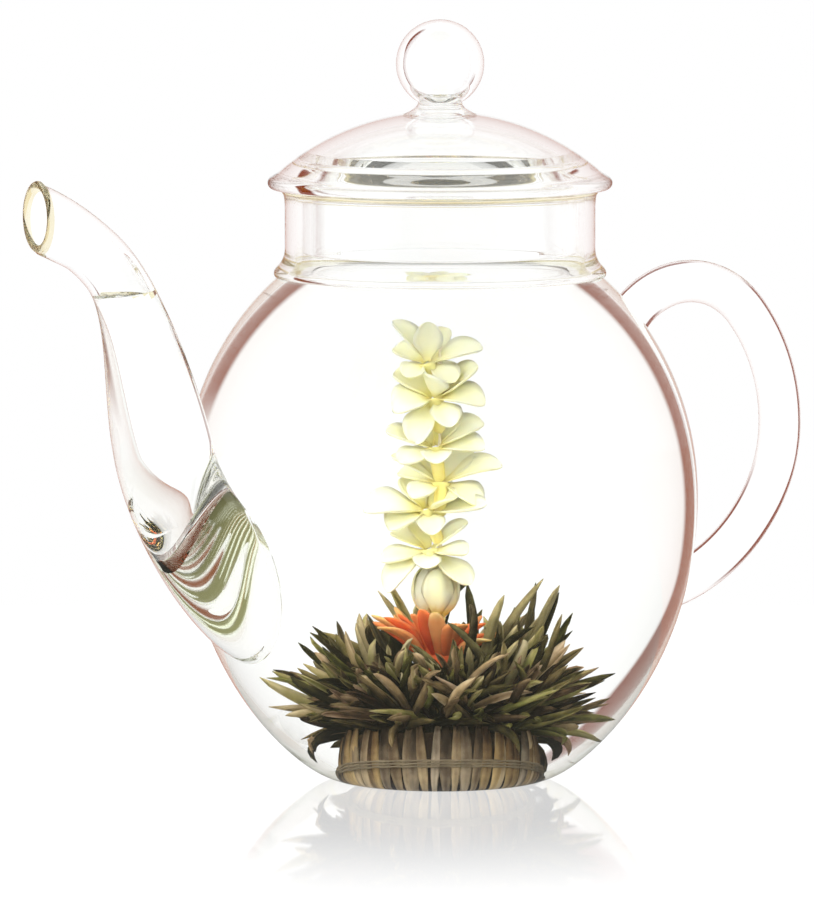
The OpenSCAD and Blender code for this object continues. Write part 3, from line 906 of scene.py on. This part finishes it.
# The blossoms from the lowest up. Each has its throat's place (to the right, and height), then petals
# as (angle above the right, lean towards the viewer, length, width).
BLOSSOMS = [
    ((-0.6, 36.9), []),
    ((-1.6, 48.3), [(224, 15, 9.0, 5.0), (196, 10, 7.0, 5.0), (-44, 15, 8.4, 5.0), (34, 10, 7.2, 3.8),
                    (-8, 35, 6.4, 5.0), (110, -30, 6.0, 5.0), (150, -25, 6.4, 5.0), (262, 50, 5.0, 4.6)]),
    ((-2.0, 54.8), [(176, 12, 9.2, 7.4), (-3, 20, 9.4, 5.2), (205, 25, 6.6, 6.0), (58, -30, 6.0, 5.0),
                    (122, -30, 6.4, 5.4), (20, 35, 6.0, 5.0), (285, 50, 5.0, 4.6)]),
    ((0.2, 59.2), [(16, 8, 9.2, 5.4), (152, 10, 8.6, 2.8), (130, -20, 7.0, 3.4), (48, -25, 6.6, 5.2),
                   (-26, 20, 6.8, 5.2), (210, 30, 5.6, 4.6), (170, -30, 6.6, 5.0)]),
    ((-0.7, 64.8), [(164, 8, 7.8, 4.6), (202, 30, 6.6, 4.8), (34, 8, 8.0, 6.0), (4, 25, 7.6, 5.4),
                    (62, -20, 7.0, 5.8), (125, -30, 6.4, 5.2), (275, 65, 5.2, 5.0)]),
    ((-0.8, 72.7), [(186, 30, 6.8, 6.8), (105, 38, 5.6, 6.2), (36, 12, 8.6, 5.4), (2, 25, 7.8, 5.8),
                    (242, 22, 7.6, 5.2), (150, -20, 7.0, 6.4), (72, -30, 6.4, 6.0), (300, 45, 6.0, 5.2)]),
    ((-1.9, 78.4), [(117, 2, 8.2, 3.8), (93, 12, 8.0, 4.8), (20, 5, 8.4, 4.8), (60, -35, 6.4, 3.8),
                    (215, 35, 4.4, 4.4), (-30, 30, 5.4, 4.8), (160, -30, 5.6, 4.6)]),
]


def bud_petals(throat, rand):
    """The closed lowest blossom: petals that stand round the throat and lean in at their tips."""
    for whorl, (number, lean, length) in enumerate(((6, 30, 8.0), (5, 20, 8.4))):
        for k in range(number):
            turn = TAU * (k + 0.5 * whorl + rand.uniform(-0.12, 0.12)) / number
            around = flat_way(turn)
            tilt = math.radians(lean + rand.uniform(-4, 4))
            out = UP * math.cos(tilt) + around * math.sin(tilt)
            inward = UP * math.sin(tilt) - around * math.cos(tilt)
            yield petal(throat + around * 1.0, out, inward, length, 5.2, -0.12, -0.5)


def open_petals(throat, petals, rand):
    """The petals of an open blossom, one after another."""
    for angle, depth, length, width in petals:
        out = aim(angle + rand.uniform(-3, 3), depth + rand.uniform(-4, 4))
        above = UP + FRONT * 0.5
        up = (above - out * above.dot(out)).normalized()
        cup, curl = rand.uniform(0.05, 0.2), rand.uniform(-0.1, 0.3)
        yield petal(throat + out * 0.5, out, up, length, width, cup, curl)


def make_blossoms():
    for i, (place, petals) in enumerate(BLOSSOMS):
        rand = random.Random(100 + i)
        name = f"blossom_{i + 1}"
        throat = RIGHT * place[0] + UP * place[1]
        root = Vector((0, 0, place[1] - 5.4))
        stem = [tuple(throat.lerp(root, s) + FRONT * (0.5 * math.sin(math.pi * s)))
                for s in (0, 0.1, 0.3, 0.6, 0.9, 1.0)]
        corolla = tube(stem, [1.5, 1.3, 1.05, 1.0, 0.9, 0.4])
        parts, tones = [corolla], [0.35] * len(corolla[0])
        depth = 0.0 if petals else 0.25
        for shape, light in open_petals(throat, petals, rand) if petals else bud_petals(throat, rand):
            parts.append(shape)
            shade = rand.uniform(-0.12, 0.08) - depth
            tones += [0.3 + 0.62 * smooth(t / 0.5) + shade for t in light]
        plant_piece(name, parts, tones, petal_cream, [f"jasmine_{i + 1}"])


# Each whorl of the orange flower, from the outside in: petals, their lean in degrees, and their length.
ORANGE_WHORLS = ((11, 48, 12.5), (9, 36, 12.0), (7, 22, 10.5))


def make_flower():
    """The orange flower at the garland's foot."""
    rand = random.Random(77)
    low, high = box_mm("flower_petals")
    parts, tones = [], []
    for whorl, (number, tilt_deg, length) in enumerate(ORANGE_WHORLS):
        for k in range(number):
            turn = TAU * (k + 0.5 * whorl + rand.uniform(-0.2, 0.2)) / number
            around = flat_way(turn)
            tilt = math.radians(tilt_deg + rand.uniform(-8, 8))
            out = UP * math.cos(tilt) + around * math.sin(tilt)
            up = UP * math.sin(tilt) - around * math.cos(tilt)
            share = mix(0.72, 1.0, 0.5 + 0.5 * around.dot(FRONT * 0.6 - RIGHT * 0.8))
            shape, light = petal(UP * (low.z + 6.0) + around * 2.0, out, up,
                                 length * share * rand.uniform(0.85, 1.0), 3.0, 0.06,
                                 rand.uniform(0.0, 0.3))
            parts.append(shape)
            shade = rand.uniform(-0.15, 0.15)
            tones += [0.15 + 0.6 * t + 2 * shade for t in light]
    plant_piece("orange_petals", parts, tones, petal_orange, ["flower_petals"])

    low, high = box_mm("flower_heart")
    rings = [(0.0, 0.8), (0.2, 1.0), (0.6, 1.15), (0.85, 1.3), (0.97, 0.9), (1.0, 0.2)]
    heart = tube([(0, 0, mix(low.z + 4, high.z, t)) for t, _ in rings], [2.4 * s for _, s in rings], 24)
    parts, tones = [heart], [0.3] * len(heart[0])
    for k in range(40):
        turn, out = rand.uniform(0, TAU), 2.2 * math.sqrt(rand.uniform(0.02, 1))
        foot = (out * math.cos(turn), out * math.sin(turn), high.z - 2)
        tip = (foot[0] * 1.3, foot[1] * 1.3, high.z + rand.uniform(0.2, 1.2))
        stamen = tube([foot, tip], [0.16, 0.24], 6)
        parts.append(stamen)
        tones += [0.75] * len(stamen[0])
    plant_piece("flower_middle", parts, tones, petal_orange, ["flower_heart"])


make_globe()
make_neck()
make_spout()
make_handle()
make_tea()
make_lid()
make_base()
leaf_crown("leaves_outer", "leaf_crown_outer", 190, 1, (18, 27), (17, 29),
           leaf_dark, (0.9, 1.6), 0.05)
leaf_crown("leaves_middle", "leaf_crown_middle", 150, 2, (14, 22), (25, 38),
           leaf_dark, (0.9, 1.6))
leaf_crown("leaves_inner", "leaf_crown_inner", 90, 3, (10, 19), (32, 44),
           leaf_light, (0.9, 1.5))
make_threads()
make_flower()
make_blossoms()


# ---- studio ----

# These add nodes to a node tree, net.

def fade_node(net, source, start, end, low, high):
    """A number that goes smoothly from low to high while source goes from start to end."""
    made = add_node(net.nodes, "ShaderNodeMapRange", interpolation_type="SMOOTHSTEP")
    for i, value in enumerate((start, end, low, high)):
        made.inputs[i + 1].default_value = value
    net.links.new(source, made.inputs[0])
    return made.outputs[0]


def maths(net, operation, a, b=None):
    """One sum of numbers or sockets."""
    made = add_node(net.nodes, "ShaderNodeMath", operation=operation)
    for i, value in enumerate((a, b)):
        if value is None:
            continue
        if isinstance(value, (int, float)):
            made.inputs[i].default_value = value
        else:
            net.links.new(value, made.inputs[i])
    return made.outputs[0]


def blend(net, share, a, b):
    """A colour mixed from a to b, each a colour or a socket."""
    made = add_node(net.nodes, "ShaderNodeMix", data_type="RGBA")
    net.links.new(share, made.inputs[0])
    for i, value in ((6, a), (7, b)):
        if isinstance(value, tuple):
            made.inputs[i].default_value = (*value, 1)
        else:
            net.links.new(value, made.inputs[i])
    return made.outputs[2]


def mixed_shader(net, share, a, b):
    made = net.nodes.new("ShaderNodeMixShader")
    net.links.new(share, made.inputs[0])
    net.links.new(a.outputs[0], made.inputs[1])
    net.links.new(b.outputs[0], made.inputs[2])
    return made


BACKDROP = (1.1, 1.1, 1.1)
STRIP_BROWN = (0.22, 0.025, 0.0)
OVERHEAD_GOLD = (0.5, 0.42, 0.16)
VIEWER_WARM = (0.92, 0.86, 0.82)  # the viewer's side of the room, seen through glass
MIRROR_WHITE = (0.9, 0.9, 0.9)
MIRROR_BROWN = (0.4, 0.09, 0.02)  # mirrored in the glass, off to the sides
MIRROR_FRONT = (0.07, 0.055, 0.045)  # mirrored in the glass, from the viewer's side
MIRROR_FLOOR = (0.15, 0.15, 0.15)
KEY_WAY = (-0.35, -0.5, 0.79)  # from the left, the viewer's side and above
KEY_DIM, KEY_BRIGHT = 0.12, 5.0

FLOOR_HALF = 300
FLOOR_BEHIND = 60  # beyond this the glass does not see the floor, only the backdrop
FLOOR_SHINE = 0.42
FLOOR_GLOW, FLOOR_GLOW_ON_OBJECTS = 1.1, 0.08


def opposite(net, share):
    return maths(net, "SUBTRACT", 1.0, share)


def times(net, *factors):
    made = factors[0]
    for factor in factors[1:]:
        made = maths(net, "MULTIPLY", made, factor)
    return made


def in_a_mirror(net, path):
    """One where a sharp reflection is being looked up."""
    return times(net, path.outputs["Is Reflection Ray"], path.outputs["Is Singular Ray"])


def make_floor():
    """A white floor that gives back a soft picture of the pot, which fades away from it."""
    corners = [(RIGHT * x + FRONT * y) * FLOOR_HALF - UP * 0.05
               for x, y in ((-1, 1), (1, 1), (1, -1), (-1, -1))]
    mesh = finish_mesh("studio_floor", corners, [(0, 1, 2, 3)])
    made = new_object("studio_floor", mesh)
    material, nodes, _, shader = new_material("white_floor")
    nodes.remove(shader)
    net = material.node_tree
    path = net.nodes.new("ShaderNodeLightPath")
    mirror = in_a_mirror(net, path)
    place = net.nodes.new("ShaderNodeTexCoord")

    white = net.nodes.new("ShaderNodeEmission")
    strength = fade_node(net, path.outputs["Diffuse Depth"], 0, 1, FLOOR_GLOW, FLOOR_GLOW_ON_OBJECTS)
    net.links.new(strength, white.inputs["Strength"])
    net.links.new(blend(net, mirror, (1.0, 1.0, 1.0), MIRROR_FLOOR), white.inputs["Color"])

    shine = add_node(net.nodes, "ShaderNodeBsdfGlossy", Color=(1, 1, 1, 1), Roughness=0.04)
    length = add_node(net.nodes, "ShaderNodeVectorMath", operation="LENGTH")
    net.links.new(place.outputs["Object"], length.inputs[0])
    share = fade_node(net, length.outputs["Value"], 0.05, 0.19, FLOOR_SHINE, 0.0)
    near = mixed_shader(net, times(net, share, opposite(net, mirror)), white, shine)

    away = add_node(net.nodes, "ShaderNodeVectorMath", operation="DOT_PRODUCT")
    net.links.new(place.outputs["Object"], away.inputs[0])
    away.inputs[1].default_value = -FRONT
    beyond = maths(net, "GREATER_THAN", away.outputs["Value"], FLOOR_BEHIND * MM)
    unseen = times(net, beyond, opposite(net, path.outputs["Is Camera Ray"]))
    surface = mixed_shader(net, unseen, near, net.nodes.new("ShaderNodeBsdfTransparent"))
    net.links.new(surface.outputs[0], net.nodes["Material Output"].inputs["Surface"])
    mesh.materials.append(material)


def side_strips(net, way, degrees, level):
    """The share of brown: an upright strip on each side, between two angles from straight behind."""
    height = way.outputs["Z"]
    on_right = fade_node(net, way.outputs["X"], -0.05, 0.05, 0, 1)
    high_up = fade_node(net, height, 0.1, 0.4, 0, 1)
    widened = times(net, high_up, opposite(net, on_right), 11.0)
    inner = fade_node(net, maths(net, "ADD", degrees, widened), 48, 52, 0, 1)
    outer = fade_node(net, degrees, 62, 68, 1, 0)
    cut_short = times(net, fade_node(net, height, -0.4, -0.2, 0, 1), on_right)
    sideways = maths(net, "ABSOLUTE", way.outputs["X"])
    return times(net, inner, outer, level, opposite(net, cut_short),
                 fade_node(net, sideways, 0.22, 0.42, 0, 1))


def key_light(net, turned):
    """Soft light from above, which only the tea plants get."""
    key = add_node(net.nodes, "ShaderNodeVectorMath", operation="DOT_PRODUCT")
    net.links.new(turned.outputs[0], key.inputs[0])
    key.inputs[1].default_value = KEY_WAY
    soft = fade_node(net, key.outputs["Value"], -0.1, 1.0, KEY_DIM, KEY_BRIGHT)
    lit = add_node(net.nodes, "ShaderNodeCombineColor")
    for i in range(3):
        net.links.new(soft, lit.inputs[i])
    return lit.outputs[0]


def make_world():
    """White studio. The glass also picks up a brown strip on each side, gold overhead, and a dim front."""
    world = bpy.data.worlds.new("studio")
    bpy.context.scene.world = world
    world.use_nodes = True
    net = world.node_tree
    place = net.nodes.new("ShaderNodeTexCoord")
    turned = add_node(net.nodes, "ShaderNodeVectorRotate", rotation_type="Z_AXIS",
                      Angle=math.radians(-VIEW_TURN))
    net.links.new(place.outputs["Generated"], turned.inputs["Vector"])
    way = net.nodes.new("ShaderNodeSeparateXYZ")
    net.links.new(turned.outputs[0], way.inputs[0])
    degrees = maths(net, "DEGREES", maths(net, "ARCCOSINE", way.outputs["Y"]))
    level = fade_node(net, way.outputs["Z"], 0.6, 0.8, 1, 0)

    through = blend(net, side_strips(net, way, degrees, level), BACKDROP, STRIP_BROWN)
    gold = fade_node(net, way.outputs["Z"], 0.88, 0.97, 0, 1)
    through = blend(net, gold, through, OVERHEAD_GOLD)
    behind = fade_node(net, way.outputs["Y"], -0.45, -0.75, 0, 1)
    through = blend(net, behind, through, VIEWER_WARM)

    front = fade_node(net, way.outputs["Y"], 0.3, -0.5, 0, 1)
    dim = times(net, fade_node(net, degrees, 5, 14, 0, 1), level)
    mirrored = blend(net, dim, MIRROR_WHITE, MIRROR_BROWN)
    mirrored = blend(net, front, mirrored, MIRROR_FRONT)

    path = net.nodes.new("ShaderNodeLightPath")
    colour = blend(net, path.outputs["Is Transmission Ray"], (1.0, 1.0, 1.0), through)
    colour = blend(net, in_a_mirror(net, path), colour, mirrored)
    diffused = maths(net, "GREATER_THAN", path.outputs["Diffuse Depth"], 0.5)
    colour = blend(net, diffused, colour, key_light(net, turned))
    net.links.new(colour, net.nodes["Background"].inputs["Color"])


def make_camera():
    turn, rise = math.radians(VIEW_TURN), math.radians(VIEW_RISE)
    back = Vector((math.sin(turn) * math.cos(rise), -math.cos(turn) * math.cos(rise), math.sin(rise)))
    data = bpy.data.cameras.new("camera")
    camera = new_object("camera", data)
    data.lens = VIEW_LENS
    data.sensor_width = 36
    data.clip_end = 10
    camera.location = (VIEW_AIM + back * VIEW_DISTANCE) * MM
    camera.rotation_mode = "QUATERNION"
    camera.rotation_quaternion = (-back).to_track_quat("-Z", "Y")
    bpy.context.scene.camera = camera


make_floor()
make_world()
make_camera()

LIGHT_TURNS = 128  # light is caught many times over inside the glass walls
scene = bpy.context.scene
scene.view_settings.view_transform = "Standard"
scene.cycles.max_bounces = LIGHT_TURNS
scene.cycles.transmission_bounces = LIGHT_TURNS
scene.cycles.glossy_bounces = LIGHT_TURNS
scene.cycles.diffuse_bounces = 4
